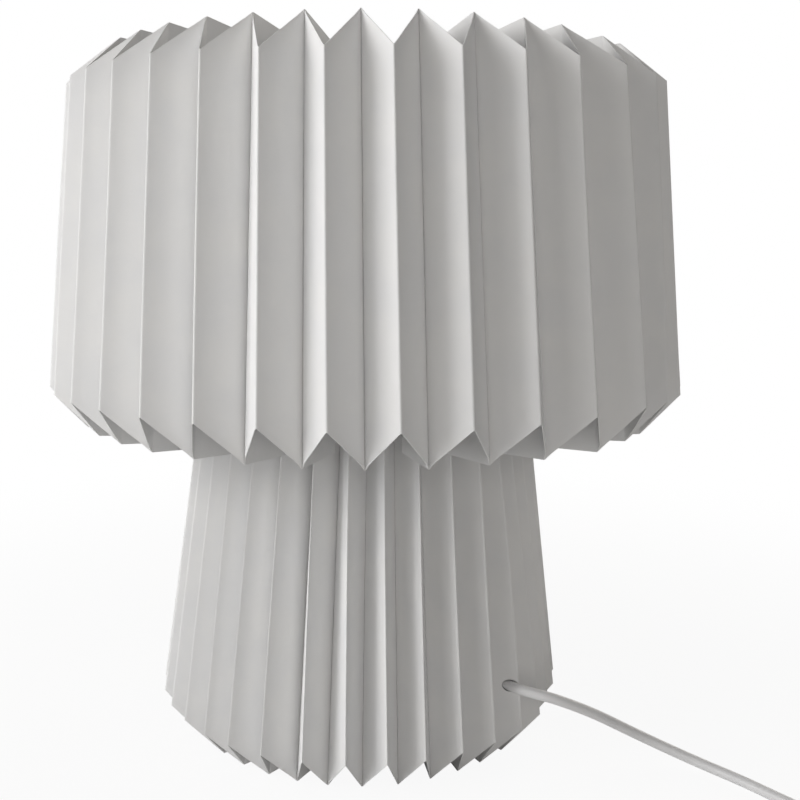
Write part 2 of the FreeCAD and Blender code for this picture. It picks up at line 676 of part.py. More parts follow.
def make_tie():
    """A strap round the bundle of turns."""
    half = CORD_D / 2
    inner_x = COIL_INNER_R - half - COIL_SKIN - TIE_THICK
    long = COIL_OUTER_R - COIL_INNER_R + CORD_D + 2 * (COIL_SKIN + TIE_THICK)
    high = COIL_LAYERS * CORD_D + 2 * COIL_SKIN + TIE_THICK
    outside = Part.makeBox(long, TIE_WIDE, high, Vector(inner_x, -TIE_WIDE / 2, 0))
    inside = Part.makeBox(long - 2 * TIE_THICK, TIE_WIDE, high - 2 * TIE_THICK,
                          Vector(inner_x + TIE_THICK, -TIE_WIDE / 2, TIE_THICK))
    band = outside.cut(inside)
    band.rotate(ORIGIN, UP, TIE_AZIMUTH)
    band.translate(Vector(COIL_CENTRE[0], COIL_CENTRE[1], 0))
    return band


def coil_length():
    """Length of the cord in the coil: turns that step in by a diameter, then out again on top."""
    turns = (COIL_OUTER_R - COIL_INNER_R) / CORD_D
    mean = (COIL_OUTER_R + COIL_INNER_R) / 2
    return COIL_LAYERS * turns * 2 * math.pi * mean + math.pi / 2 * COIL_OUTER_R + 2 * COIL_STUB


# ---------------------------------------------------------------- inline switch
def switch_block():
    block = Part.makeBox(SWITCH_LONG, SWITCH_WIDE, SWITCH_HIGH, Vector(0, -SWITCH_WIDE / 2, 0))
    block = block.makeFillet(2 * SWITCH_EDGE, upright_edges(block))
    top = [edge for edge in block.Edges if edge.BoundBox.ZMin > SWITCH_HIGH - SWITCH_WALL]
    return block.makeFillet(SWITCH_EDGE / 2, top)


def rocker_centre():
    return Vector(SWITCH_LONG / 2, 0, SWITCH_HIGH - ROCKER_HIGH / 2)


def make_rocker_shape():
    """The rocker across the switch, with its two pins, one end pressed down at rest."""
    centre = rocker_centre()
    half = ROCKER_LONG / 2
    low, high = -ROCKER_HIGH / 2, ROCKER_HIGH / 2
    profile = [Vector(-half + ROCKER_PROUD, 0, low), Vector(half - ROCKER_PROUD, 0, low),
               Vector(half, 0, high + ROCKER_PROUD), Vector(0, 0, high),
               Vector(-half, 0, high + ROCKER_PROUD)]
    body = Part.Face(Part.makePolygon(profile + profile[:1])).extrude(Vector(0, ROCKER_WIDE, 0))
    body.translate(Vector(0, -ROCKER_WIDE / 2, 0))
    pin_long = ROCKER_WIDE + 2 * ROCKER_PIN_LONG
    pin = Part.makeCylinder(ROCKER_PIN_R, pin_long, Vector(0, -pin_long / 2, 0), Vector(0, 1, 0))
    body = body.fuse(pin).removeSplitter()
    body.rotate(ORIGIN, Vector(0, 1, 0), ROCKER_TILT)
    body.translate(centre)
    return body


def rocker_room():
    """Window, well and pin bearings that the rocker turns in."""
    centre = rocker_centre()
    half = ROCKER_LONG / 2 + ROCKER_PROUD
    swing = half * math.tan(math.radians(ROCKER_TILT)) + ROCKER_GAP
    low = centre.z - ROCKER_HIGH / 2 - swing
    window = Part.makeBox(2 * half, ROCKER_WIDE + 2 * ROCKER_GAP, SWITCH_HIGH,
                          Vector(centre.x - half, -ROCKER_WIDE / 2 - ROCKER_GAP, low))
    pin_long = ROCKER_WIDE + 2 * ROCKER_PIN_LONG + 2 * ROCKER_GAP
    bearing = Part.makeCylinder(ROCKER_PIN_R + ROD_FIT, pin_long, centre - Vector(0, pin_long / 2, 0),
                                Vector(0, 1, 0))
    return window.fuse(bearing)


def switch_screws(radius, low, high):
    """Two upright cylinders where the switch's screws are."""
    middle = SWITCH_LONG / 2
    return [Part.makeCylinder(radius, high - low, Vector(middle + side * SWITCH_SCREW_INSET,
                                                         side * SWITCH_SCREW_SIDE, low), UP)
            for side in (-1, 1)]


def make_switch():
    block = switch_block()
    below = Part.makeBox(2 * SWITCH_LONG, 2 * SWITCH_WIDE, SWITCH_SEAM,
                         Vector(-SWITCH_LONG / 2, -SWITCH_WIDE, 0))
    cord = Part.makeCylinder(CORD_D / 2, SWITCH_LONG, Vector(0, 0, SWITCH_SEAM), Vector(1, 0, 0))
    hollow = Part.makeBox(SWITCH_LONG / 2, SWITCH_WIDE - 4 * SWITCH_WALL, SWITCH_SEAM - SWITCH_WALL,
                          Vector(SWITCH_LONG / 4, -SWITCH_WIDE / 2 + 2 * SWITCH_WALL, SWITCH_WALL))
    screw_top = SWITCH_SEAM + SWITCH_WALL
    lower = block.common(below).cut(hollow).cut(cord)
    upper = block.cut(below).cut(cord).cut(rocker_room())
    screws = []
    for shank, head in zip(switch_screws(SWITCH_SCREW_R, SWITCH_WALL, screw_top),
                           switch_screws(SWITCH_SCREW_HEAD_R, 0, SWITCH_WALL)):
        screws.append(shank.fuse(head).removeSplitter())
    for shank, head in zip(switch_screws(SWITCH_SCREW_R + ROD_FIT, SWITCH_WALL, screw_top),
                           switch_screws(SWITCH_SCREW_HEAD_R + ROD_FIT, 0, SWITCH_WALL)):
        lower = lower.cut(shank).cut(head)
        upper = upper.cut(shank)
    made = {"switch_lower": lower, "switch_upper": upper, "switch_rocker": make_rocker_shape(),
            "switch_screws": Part.makeCompound(screws)}
    before, entry = (Vector(*p) for p in TAIL_ROUTE[-2:])
    origin = entry - UP * SWITCH_SEAM
    return {name: placed(shape, origin, entry - before) for name, shape in made.items()}


# ---------------------------------------------------------------- plug
def make_plug():
    """Flat two-pin plug drawn along +X with its tapered strain relief, its cord axis on the X axis."""
    half_wide, half_nose = PLUG_WIDE / 2, PLUG_NOSE_WIDE / 2
    start = RELIEF_LONG
    end = start + PLUG_LONG
    low, high = -PLUG_HIGH / 2, PLUG_HIGH / 2
    outline = [Vector(start, -RELIEF_R - RELIEF_WALL, low), Vector(start + PLUG_LONG / 3, -half_wide, low),
               Vector(end - PLUG_LONG / 4, -half_wide, low), Vector(end, -half_nose, low),
               Vector(end, half_nose, low), Vector(end - PLUG_LONG / 4, half_wide, low),
               Vector(start + PLUG_LONG / 3, half_wide, low), Vector(start, RELIEF_R + RELIEF_WALL, low)]
    body = Part.Face(Part.makePolygon(outline + outline[:1])).extrude(Vector(0, 0, high - low))
    body = body.makeFillet(PLUG_EDGE, [edge for edge in upright_edges(body)
                                       if edge.BoundBox.XMin > start + STEP_TOLERANCE])
    body = body.makeFillet(PLUG_EDGE / 2, level_edges(body))
    pins = []
    for side in (-1, 1):
        seat = Vector(end - PIN_SEAT, side * PIN_SPACING / 2, 0)
        shoulder = Vector(end + PIN_NECK_OUT, side * PIN_SPACING / 2, 0)
        neck = Part.makeCylinder(PIN_NECK_R, PIN_SEAT + PIN_NECK_OUT, seat, Vector(1, 0, 0))
        pin = Part.makeCylinder(PIN_R, PIN_LONG - PIN_NECK_OUT, shoulder, Vector(1, 0, 0))
        tip = max(pin.Edges, key=lambda edge: edge.BoundBox.XMin)
        pins.append(pin.makeFillet(PIN_TIP_ROUND, [tip]).fuse(neck).removeSplitter())
        body = body.cut(neck)
    relief = Part.makeCone(CORD_D / 2 + RELIEF_WALL, RELIEF_R, RELIEF_LONG, ORIGIN, Vector(1, 0, 0))
    cord = Part.makeCylinder(CORD_D / 2, RELIEF_LONG, ORIGIN, Vector(1, 0, 0))
    made = {"plug_body": body, "plug_pins": Part.makeCompound(pins), "plug_relief": relief.cut(cord)}
    before, entry = (Vector(*p) for p in PLUG_ROUTE[-2:])
    return {name: placed(shape, entry, entry - before) for name, shape in made.items()}


def make_cords():
    """The inner flex and the free cord's stretches, with a printed line on each."""
    before, entry = (Vector(*p) for p in TAIL_ROUTE[-2:])
    switch_end = entry + (entry - before).normalize() * SWITCH_LONG
    before, plug_entry = (Vector(*p) for p in PLUG_ROUTE[-2:])
    into_plug = (plug_entry - before).normalize()
    routes = {"cord_inside": FLEX_ROUTE, "cord_lead": LEAD_ROUTE, "cord_to_switch": TAIL_ROUTE,
              "cord_to_plug": [tuple(switch_end)] + PLUG_ROUTE}
    made = {"cord_coil": make_coil()}
    free = coil_length() + SWITCH_LONG + RELIEF_LONG
    for name, route in routes.items():
        solid, length, bends = cord_tube(route)
        share = solid.Volume / (math.pi * (CORD_D / 2) ** 2 * length)
        print("%s: length %.1f, volume %.4f of section x length, radii %s"
              % (name, length, share, " ".join("%.0f" % bend for bend in bends)))
        free += length if name != "cord_inside" else 0
        made[name] = solid
    inside_relief = Part.makeCylinder(CORD_D / 2, RELIEF_LONG, plug_entry, into_plug)
    made["cord_to_plug"] = made["cord_to_plug"].fuse(inside_relief).removeSplitter()
    print("free cord: %.0f in all, %.0f of it in the coil" % (free, coil_length()))
    return made


def make_wires():
    """Two insulated wires from the end of the flex up to the terminal screws."""
    low = FLEX_ROUTE[0][2]
    high = INSERT_TOP - TERMINAL_LONG - GLUE
    wires = []
    for side in (-1, 1):
        route = [(side * WIRE_APART, 0, low), (side * WIRE_APART, 0, low + WIRE_BEND_LOW),
                 (side * TERMINAL_OFFSET, 0, low + WIRE_BEND_HIGH), (side * TERMINAL_OFFSET, 0, high)]
        wires.append(cord_tube(route, WIRE_R)[0])
    return wires


def group(solids):
    return Part.makeCompound(solids)


def build():
    nodes = {}
    for k, strip in enumerate(make_shade()):
        nodes["shade_strip_%d" % (k + 1)] = strip
    for k, strip in enumerate(make_foot()):
        nodes["foot_strip_%d" % (k + 1)] = strip
    nodes["rubber_pads"] = group(make_pads())
    nodes["weight_disc"] = make_disc()
    nodes["spacer_rods"] = group(make_rods())
    nodes["rod_nuts"] = group(make_rod_nuts())
    nodes["top_plate"] = make_plate()
    nodes["threaded_pipe"] = make_pipe()
    nodes["pipe_nuts"] = group(make_pipe_nuts())
    nodes["pipe_washer"] = make_pipe_washer()
    nodes["cord_grip"] = make_grip()
    nodes["grip_screw"] = make_grip_screw()
    nodes["holder_cap"] = make_cap()
    nodes["holder_insert"] = make_insert()
    nodes["holder_contacts"] = group(make_contacts())
    nodes["terminal_screws"] = group(make_terminals())
    nodes["terminal_wires"] = group(make_wires())
    nodes["screw_shell"] = make_screw_shell()
    nodes["holder_skirt"] = make_skirt()
    nodes["holder_collar"] = make_collar()
    nodes["shade_carrier"] = make_carrier()
    nodes["bulb_tip"] = make_bulb_tip()
    nodes["bulb_cap"] = make_bulb_cap()
    nodes["bulb_body"] = make_bulb_body()
    nodes["bulb_diffuser"] = make_bulb_ball()
    board, chips = make_board()
    nodes["led_board"] = board
    nodes["led_chips"] = group(chips)
    nodes.update(make_cords())
    nodes["cord_tie"] = make_tie()
    nodes.update(make_switch())
    nodes.update(make_plug())
    return nodes


os.makedirs("parts", exist_ok=True)
for node_name, node_shape in build().items():
    if not node_shape.isValid():
        print("not valid:", node_name)
    node_shape.exportStep("parts/%s.step" % node_name)
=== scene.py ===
"""Finish of the pleated paper table lamp, in metres, in the frame of its solids.

Azimuths are in degrees from the front (-Y) towards the right (+X).
"""
import json
import math

import bmesh
import bpy
from mathutils import Matrix, Vector


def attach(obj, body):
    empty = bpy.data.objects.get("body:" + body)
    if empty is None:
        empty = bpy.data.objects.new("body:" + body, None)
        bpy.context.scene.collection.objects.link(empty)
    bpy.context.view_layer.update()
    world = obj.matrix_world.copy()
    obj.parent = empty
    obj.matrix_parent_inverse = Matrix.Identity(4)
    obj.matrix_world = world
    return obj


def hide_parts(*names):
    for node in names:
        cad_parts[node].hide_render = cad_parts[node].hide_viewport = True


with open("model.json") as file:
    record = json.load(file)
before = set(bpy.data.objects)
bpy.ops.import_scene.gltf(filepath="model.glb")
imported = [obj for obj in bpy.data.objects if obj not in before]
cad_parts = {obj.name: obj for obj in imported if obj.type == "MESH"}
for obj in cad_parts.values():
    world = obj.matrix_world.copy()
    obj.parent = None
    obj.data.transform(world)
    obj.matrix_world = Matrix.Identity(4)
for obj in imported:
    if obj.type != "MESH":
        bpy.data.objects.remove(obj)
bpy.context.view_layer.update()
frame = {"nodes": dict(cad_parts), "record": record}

MM = 0.001

# ---------------------------------------------------------------- camera, floor and lamps, in metres
CAMERA_PLACE = (0.0, -0.6196, 0.3023)
CAMERA_DOWN = 9.288         # degrees, as are the next two
CAMERA_RIGHT = 1.658
CAMERA_ROLL = 0.164
CAMERA_NEAR = 0.01          # nearest distance that the camera sees
LENS = 44.54                # millimetres, as is the sensor
SENSOR = 36.0
FLOOR_HALF = 6.0            # half the floor's width
FLOOR_WHITE = 0.93          # share of plain white in what the camera sees of the floor by the lamp
FLOOR_NEAR = 0.15           # distance from the middle where that share starts to rise
FLOOR_FAR = 0.75            # and where it reaches 1
LIT_PLACE = (0.0, 0.0, 0.2)  # every light is aimed at it
LIGHT_AWAY = 2.2            # distance of each light from there
LIGHT_SIZE = 1.2

# ---------------------------------------------------------------- paper, in millimetres and degrees
PLEATS = 36                 # all round
PITCH = 360.0 / PLEATS
PAPER = 0.35
MOUTH = 0.01                # gap between the two layers where they meet in a valley
OPENING = 26.0              # angle at which the layers part in a valley
CREASE = 0.5                # how far a valley's crease reaches
NOSE = 1.4                  # how far a ridge's rounding reaches back along its panels
FOOT_TWIST = 2.5            # of the foot's top
NOTCH_STEP = 0.2            # height over which a fin's inner edge steps at a notch
MITRE = 1.6                 # furthest that a corner stands out, in halves of the paper
SHARP = 50.0                # a larger angle between faces is shaded as an edge
ROWS = 18                   # steps along a fold, and below it the steps across each stretch of a pleat
FIN_POINTS = 5
CREASE_POINTS = 3
BEND_POINTS = 6
PANEL_POINTS = 6
NOSE_POINTS = 4
NEAR_NOSE = 0.98            # share of the panel at its last row of points before the rounding

# A ring of pleats:
#   phase               azimuth of its first ridge
#   lean                of its folds, inwards
#   valley_r, bottom    radius and height of the valleys at the low edge
#   height              length of a valley's fold
#   depth               of the ridges over the valleys
#   cut_low, cut_high   how much shorter a ridge is than a valley, at each edge
#   fin                 from a valley in to the inner fold
#   level               whether the fins end level, and not square to the fold
#   bend                reach of the rounding between a fin and its panel
#   shift               of the panels to the right, at the low edge
#   notches             height from, height to, and the radius that the fins keep clear of
SHADE = {
    "name": "shade", "body": "shade", "strips": 6, "phase": 4.0, "lean": 5.8,
    "valley_r": 172.2, "bottom": 196.4, "height": 210.0, "depth": 22.0, "cut_low": 20.5, "cut_high": 22.0,
    "fin": 66.0, "level": False, "bend": 2.8, "shift": 0.0, "notches": [(0.0, 235.05, 105.6)],
}
FOOT = {
    "name": "foot", "body": "stand", "strips": 4, "phase": 6.0, "lean": 7.1,
    "valley_r": 109.2, "bottom": 0.5, "height": 227.24, "depth": 22.5, "cut_low": 21.0, "cut_high": 21.0,
    "fin": 30.0, "level": True, "bend": 2.2, "shift": -5.4,
    "notches": [(0.0, 11.0, 84.3), (200.0, 300.0, 62.3)],
}

# ---------------------------------------------------------------- cord, in millimetres
CORD_D = 6.0
CORD_STEPS = 6              # between two points of its route
CORD_ROUNDNESS = 5          # its bevel resolution
LEAD_ROUTE = [(77, -82.5, 48.5), (81, -90.5, 49), (90.5, -97, 49), (104, -99, 46), (127, -92.5, 34),
              (148, -86, 20.5), (168, -85, 10), (190, -95, 3.3), (207, -113, 3), (222, -133, 3),
              (238, -152, 3), (256.5, -160, 3.1), (275, -160, 3.1)]
COIL_CENTRE = (303.0, -118.0)
COIL_OUTER_R = 42.0
COIL_INNER_R = 24.0
COIL_LOW = 3.1
COIL_HIGH = 9.1
COIL_TURNS = 3              # turns in each layer
COIL_STEPS = 16             # points to a turn
TAIL_ROUTE = [(345, -90, 9.1), (345, -75.5, 9.1), (347.6, -61, 9.1), (359.25, 3.97, 9.1),
              (361.55, 16.8, 9.1), (363.4, 30, 7), (365.2, 43, 7), (368.2, 64.8, 7)]
HOLE_R = 3.6                # of the cord's hole in the foot's paper
HOLE_WAY = (4, -8, 0.5)     # direction of the cord there
HOLE_LENGTH = 30
HOLE_SIDES = 48

# ---------------------------------------------------------------- surfaces
TONE_NOISE = (0.35, 0.65)   # values of a noise between which the tone changes
GLOSS_NOISE = (0.3, 0.7)    # and the gloss
FINISH_RELIEF = 0.25        # strength of a made surface's fine relief


def between(low, high, share):
    return low + (high - low) * share


def clamp(share):
    return min(max(share, 0.0), 1.0)


def point(radius, azimuth, height):
    """A place from its radius, its azimuth and its height."""
    angle = math.radians(azimuth)
    return Vector((radius * math.sin(angle), -radius * math.cos(angle), height))


def in_scene(name, data):
    """A new object of the scene from its data."""
    made = bpy.data.objects.new(name, data)
    bpy.context.scene.collection.objects.link(made)
    return made


# ---------------------------------------------------------------- materials
def shader_of(mat):
    return mat.node_tree.nodes["Principled BSDF"]


def material(name, colour, roughness, **sockets):
    """A procedural material with a Principled shader; sockets are its other plain values."""
    mat = bpy.data.materials.new(name)
    mat.use_nodes = True
    shader = shader_of(mat)
    shader.inputs["Base Color"].default_value = (*colour, 1.0)
    shader.inputs["Roughness"].default_value = roughness
    for socket, value in sockets.items():
        shader.inputs[socket.replace("_", " ")].default_value = value
    return mat


def add(owner, kind, **values):
    """A new node of a material or the world, with its properties."""
    node = owner.node_tree.nodes.new(kind)
    for key, value in values.items():
        setattr(node, key, value)
    return node


def link(owner, out, into):
    owner.node_tree.links.new(out, into)


def joined(owner, operation, one, other):
    """The result of one Math node on two values."""
    node = add(owner, "ShaderNodeMath", operation=operation)
    link(owner, one, node.inputs[0])
    link(owner, other, node.inputs[1])
    return node.outputs[0]


def mapped(owner, source, start, end, low, high, **values):
    """A value mapped from the range start to end onto the range low to high."""
    node = add(owner, "ShaderNodeMapRange", **values)
    node.inputs["From Min"].default_value = start
    node.inputs["From Max"].default_value = end
    node.inputs["To Min"].default_value = low
    node.inputs["To Max"].default_value = high
    link(owner, source, node.inputs["Value"])
    return node.outputs["Result"]


def noise(mat, scale, detail=3.0, stretch=(1, 1, 1)):
    """A noise over the object's own coordinates."""
    where = add(mat, "ShaderNodeTexCoord")
    mapping = add(mat, "ShaderNodeMapping")
    mapping.inputs["Scale"].default_value = stretch
    made = add(mat, "ShaderNodeTexNoise")
    made.inputs["Scale"].default_value = scale
    made.inputs["Detail"].default_value = detail
    link(mat, where.outputs["Object"], mapping.inputs["Vector"])
    link(mat, mapping.outputs["Vector"], made.inputs["Vector"])
    return made.outputs["Fac"]


def tint(mat, source, dark, light, ends=TONE_NOISE):
    """Colours the surface between two tones by a texture."""
    ramp = add(mat, "ShaderNodeValToRGB")
    for element, place, tone in zip(ramp.color_ramp.elements, ends, (dark, light)):
        element.position = place
        element.color = (*tone, 1.0)
    link(mat, source, ramp.inputs["Fac"])
    link(mat, ramp.outputs["Color"], shader_of(mat).inputs["Base Color"])


def relief(mat, source, strength, distance):
    """Raises the surface by a texture."""
    raised = add(mat, "ShaderNodeBump")
    raised.inputs["Strength"].default_value = strength
    raised.inputs["Distance"].default_value = distance
    link(mat, source, raised.inputs["Height"])
    link(mat, raised.outputs["Normal"], shader_of(mat).inputs["Normal"])


def paper_material():
    mat = material("drawing_paper", (0.87, 0.87, 0.87), 0.85, Specular_IOR_Level=0.25)
    tooth = noise(mat, 1400.0, 4.0)
    cloud = noise(mat, 45.0)
    tint(mat, cloud, (0.86, 0.862, 0.866), (0.885, 0.884, 0.88))
    relief(mat, tooth, 0.22, 0.00012)
    return mat


def edge_material():
    # The cut edges are coloured lighter than the paper's faces: partly a painted highlight along them,
    # partly the raw edge's own paleness.
    mat = material("paper_edge_with_painted_highlight", (0.93, 0.93, 0.925), 0.9, Specular_IOR_Level=0.2)
    fibre = noise(mat, 3000.0)
    tint(mat, fibre, (0.90, 0.90, 0.895), (0.95, 0.95, 0.945))
    return mat


def finish(name, dark, light, rough, cloud, fine, depth, stretch=(1, 1, 1), **sockets):
    """A made surface: a slow drift of tone, and gloss and a fine relief on a scale of their own."""
    mat = material(name, light, sum(rough) / 2, **sockets)
    slow = noise(mat, cloud)
    tint(mat, slow, dark, light)
    quick = noise(mat, fine, stretch=stretch)
    link(mat, mapped(mat, quick, *GLOSS_NOISE, *rough), shader_of(mat).inputs["Roughness"])
    relief(mat, quick, FINISH_RELIEF, depth)
    return mat


def woven(name, dark, light, scale):
    """A narrow woven strap: two crossed sets of threads."""
    mat = material(name, light, 0.8, Specular_IOR_Level=0.2, Sheen_Weight=0.2)
    where = add(mat, "ShaderNodeTexCoord")
    sets = []
    for direction in ("X", "Z"):
        wave = add(mat, "ShaderNodeTexWave", bands_direction=direction)
        wave.inputs["Scale"].default_value = scale
        wave.inputs["Distortion"].default_value = 0.6
        link(mat, where.outputs["Object"], wave.inputs["Vector"])
        sets.append(wave.outputs["Fac"])
    both = joined(mat, "MULTIPLY", *sets)
    tint(mat, both, dark, light, (0.1, 0.8))
    relief(mat, both, 0.4, 0.0003)
    return mat


def finishes():
    """The finish of each of the record's slots that isn't paper."""
    metal = {"Metallic": 1.0}
    drawn = (1, 1, 0.05)
    turned = (1, 0.05, 1)
    return {
        "rubber": finish("rubber", (0.07, 0.07, 0.075), (0.10, 0.10, 0.10), (0.7, 0.9),
                         90, 1500, 0.0002),
        "black_steel": finish("powder_black", (0.09, 0.09, 0.095), (0.11, 0.11, 0.115), (0.42, 0.6),
                              25, 1100, 0.00015),
        "zinc_steel": finish("zinc_plate", (0.64, 0.64, 0.61), (0.74, 0.74, 0.73), (0.24, 0.42),
                             120, 900, 0.00005, **metal),
        "white_metal": finish("powder_white", (0.84, 0.84, 0.83), (0.88, 0.88, 0.87), (0.35, 0.5),
                              30, 1100, 0.00012),
        "brass": finish("brass", (0.74, 0.56, 0.26), (0.84, 0.66, 0.34), (0.18, 0.34),
                        150, 1400, 0.00004, drawn, **metal),
        "bulb_metal": finish("rolled_aluminium", (0.74, 0.74, 0.74), (0.82, 0.82, 0.82), (0.2, 0.36),
                             140, 1300, 0.00004, drawn, **metal),
        "nickel": finish("nickel", (0.76, 0.75, 0.72), (0.84, 0.83, 0.80), (0.08, 0.2),
                         120, 1600, 0.00003, turned, **metal),
        "white_plastic": finish("moulded_white", (0.86, 0.86, 0.85), (0.90, 0.90, 0.89), (0.3, 0.42),
                                40, 800, 0.00008),
        "porcelain_grey": finish("heatproof_insert", (0.68, 0.67, 0.64), (0.75, 0.74, 0.71), (0.45, 0.65),
                                 110, 1000, 0.00012),
        "bulb_plastic": finish("bulb_body", (0.88, 0.88, 0.87), (0.92, 0.92, 0.91), (0.3, 0.45),
                               50, 900, 0.00006),
        "opal": finish("opal", (0.94, 0.94, 0.93), (0.96, 0.96, 0.95), (0.22, 0.34),
                       35, 700, 0.00003, Subsurface_Weight=0.25, Subsurface_Scale=0.004),
        "board": finish("solder_mask", (0.88, 0.89, 0.88), (0.92, 0.93, 0.92), (0.25, 0.4),
                        160, 1200, 0.00005),
        "chip": finish("phosphor", (0.86, 0.74, 0.30), (0.92, 0.84, 0.42), (0.3, 0.5),
                       900, 2500, 0.00005),
        "wire_brown": finish("wire_brown", (0.25, 0.14, 0.09), (0.31, 0.18, 0.11), (0.4, 0.55),
                             200, 1500, 0.00006),
        "cord_white": finish("cord_sheath", (0.84, 0.84, 0.85), (0.88, 0.88, 0.885), (0.36, 0.5),
                             60, 900, 0.0001, Specular_IOR_Level=0.45),
        "tie": woven("strap", (0.68, 0.68, 0.67), (0.84, 0.84, 0.83), 900),
        "white_gloss": finish("gloss_white", (0.865, 0.865, 0.855), (0.895, 0.895, 0.885), (0.16, 0.28),
                              45, 700, 0.00004, Coat_Weight=0.2),
        "rocker": finish("rocker", (0.78, 0.78, 0.78), (0.82, 0.82, 0.82), (0.18, 0.3),
                         80, 900, 0.00004),
    }


def dress_nodes(made):
    """Gives every solid that stays in view its slot's finish."""
    for row in frame["record"]["subparts"]:
        finish_of = made.get(row["material_slot"])
        if finish_of:
            for spot in frame["nodes"][row["node"]].material_slots:
                spot.material = finish_of


# ---------------------------------------------------------------- how the folds stray
def bump(value, centre, width, height, power=2):
    """A smooth rise round a place; a higher power gives it a flatter top."""
    return height * math.exp(-abs((value - centre) / width) ** power)


def shade_drift(azimuth, share, ridge):
    """How far a fold of the shade has strayed, in degrees, at a share of its height; it fades out behind."""
    front = 1 / (1 + (azimuth / 105) ** 8)
    high = 0.9 - 1.7 * math.cos(math.radians(1.6 * (azimuth - 10))) + bump(azimuth, 51.5, 8.5, 3.1, 4)
    low = 2.65 - 2.8 * math.cos(math.radians(1.2 * (azimuth - 12)))
    if ridge:
        low += bump(azimuth, 46.5, 5.0, 2.6) - bump(azimuth, 70, 14, 4.2, 4)
    else:
        high -= bump(azimuth, 37, 4, 1.1)
        low += bump(azimuth, 43.5, 8.0, 3.9) - bump(azimuth, 70, 14, 2.2, 4)
    return front * between(low, high, share)


def foot_drift(azimuth, share, ridge):
    """As for the shade; the foot's top is also twisted as a whole."""
    if ridge:
        low = bump(azimuth, 1, 9, 0.7) - bump(azimuth, -30, 11, 1.6) - 0.5
    else:
        low = -0.4 - bump(azimuth, -6, 13, 1.0) - bump(azimuth, 44, 12, 2.0)
    return low * (1 - share) - FOOT_TWIST * share


def shade_swell(azimuth, share, ridge):
    """How far a fold stands out from its nominal radius, in millimetres; the right side is drawn in."""
    a = math.radians(azimuth)
    swell = 0.5 * math.sin(5 * a + 0.8) + 0.35 * math.sin(11 * a + 2.1)
    side = bump(azimuth, 84, 16, 4.8 - 1.0 * share, 4)
    return swell * (0.6 if ridge else 1.0) + 0.3 * math.sin(math.pi * share) * math.sin(9 * a) - side


def foot_swell(azimuth, share, ridge):
    """As for the shade."""
    a = math.radians(azimuth)
    swell = 0.45 * math.sin(4 * a + 1.7) + 0.4 * math.sin(9 * a + 0.4)
    side = bump(azimuth, 78 - 6 * share, 20 + 10 * share, 4.4 + 4.7 * share, 4)
    return swell * (0.7 if ridge else 1.0) * (0.4 + 0.6 * share) - side


def shade_sag(azimuth, share, ridge):
    """How far a fold's end hangs lower than its nominal height, in millimetres."""
    high = 0.4 + bump(azimuth, -9, 16, 1.3 if ridge else 0.5)
    low = bump(azimuth, 6, 20, 1.4 if ridge else 0.4) + (0.0 if ridge else bump(azimuth, 40, 9, 1.8))
    return between(low, high, share)


def foot_sag(azimuth, share, ridge):
    """The foot's folds end at their nominal height."""
    return 0.0


SHADE.update(drift=shade_drift, swell=shade_swell, sag=shade_sag)
FOOT.update(drift=foot_drift, swell=foot_swell, sag=foot_sag)


# ---------------------------------------------------------------- pleated paper
def fold_ends(ring):
    """(radius, height) of the inner fold, the valley and the ridge, at the low and the high edge."""
    lean = math.radians(ring["lean"])
    along = (-math.sin(lean), math.cos(lean))
    out = (math.cos(lean), math.sin(lean))

    def step(start, outward, upward):
        return (start[0] + out[0] * outward + along[0] * upward,
                start[1] + out[1] * outward + along[1] * upward)

    low = (ring["valley_r"], ring["bottom"])
    high = step(low, 0, ring["height"])
    back = ring["fin"] * math.tan(lean) if ring["level"] else 0.0
    return ((step(low, -ring["fin"], back), low, step(low, ring["depth"], ring["cut_low"])),
            (step(high, -ring["fin"], back), high, step(high, ring["depth"], -ring["cut_high"])))


def curve_between(start, corner, end, count):
    """Points of a smooth curve from start towards end, which is left out."""
    shares = [k / count for k in range(count)]
    return [tuple((1 - t) ** 2 * a + 2 * t * (1 - t) * b + t * t * c for a, b, c in zip(start, corner, end))
            for t in shares]


def half_profile(inner_r, valley_r, ridge, bend):
    """Middle of the paper in plan beside a valley, from the inner fold to the ridge.

    Each point is (outwards, sideways), with the side towards the ridge as positive.
    """
    apart = (MOUTH + PAPER) / 2
    points = [(inner_r + (valley_r - inner_r) * k / FIN_POINTS, apart) for k in range(FIN_POINTS)]
    opening = math.radians(OPENING)
    start = (valley_r - CREASE, apart)
    corner = (valley_r, apart)
    middle = (valley_r + CREASE * math.cos(opening), apart + CREASE * math.sin(opening))
    points += curve_between(start, corner, middle, CREASE_POINTS)
    knee = (middle[0] + bend * math.cos(opening), middle[1] + bend * math.sin(opening))
    way = math.atan2(ridge[1] - knee[1], ridge[0] - knee[0])
    end = (knee[0] + bend * math.cos(way), knee[1] + bend * math.sin(way))
    points += curve_between(middle, knee, end, BEND_POINTS)
    points.append(end)
    tip = (ridge[0] - NOSE * math.cos(way), ridge[1] - NOSE * math.sin(way))
    for t in [k / PANEL_POINTS for k in range(1, PANEL_POINTS)] + [NEAR_NOSE, 1.0]:
        points.append((between(end[0], tip[0], t), between(end[1], tip[1], t)))
    return points


def row_shares(ring, low, high):
    """Shares of the height where the sheet has a row of points: even ones, and two at each notch's end."""
    shares = [r / ROWS for r in range(ROWS + 1)]
    rise = high[0][1] - low[0][1]
    for notch in ring["notches"]:
        for height in notch[:2]:
            at = (height - low[0][1]) / rise
            if 0 < at < 1:
                shares += [at - NOTCH_STEP / 2 / rise, at + NOTCH_STEP / 2 / rise]
    return sorted(shares)


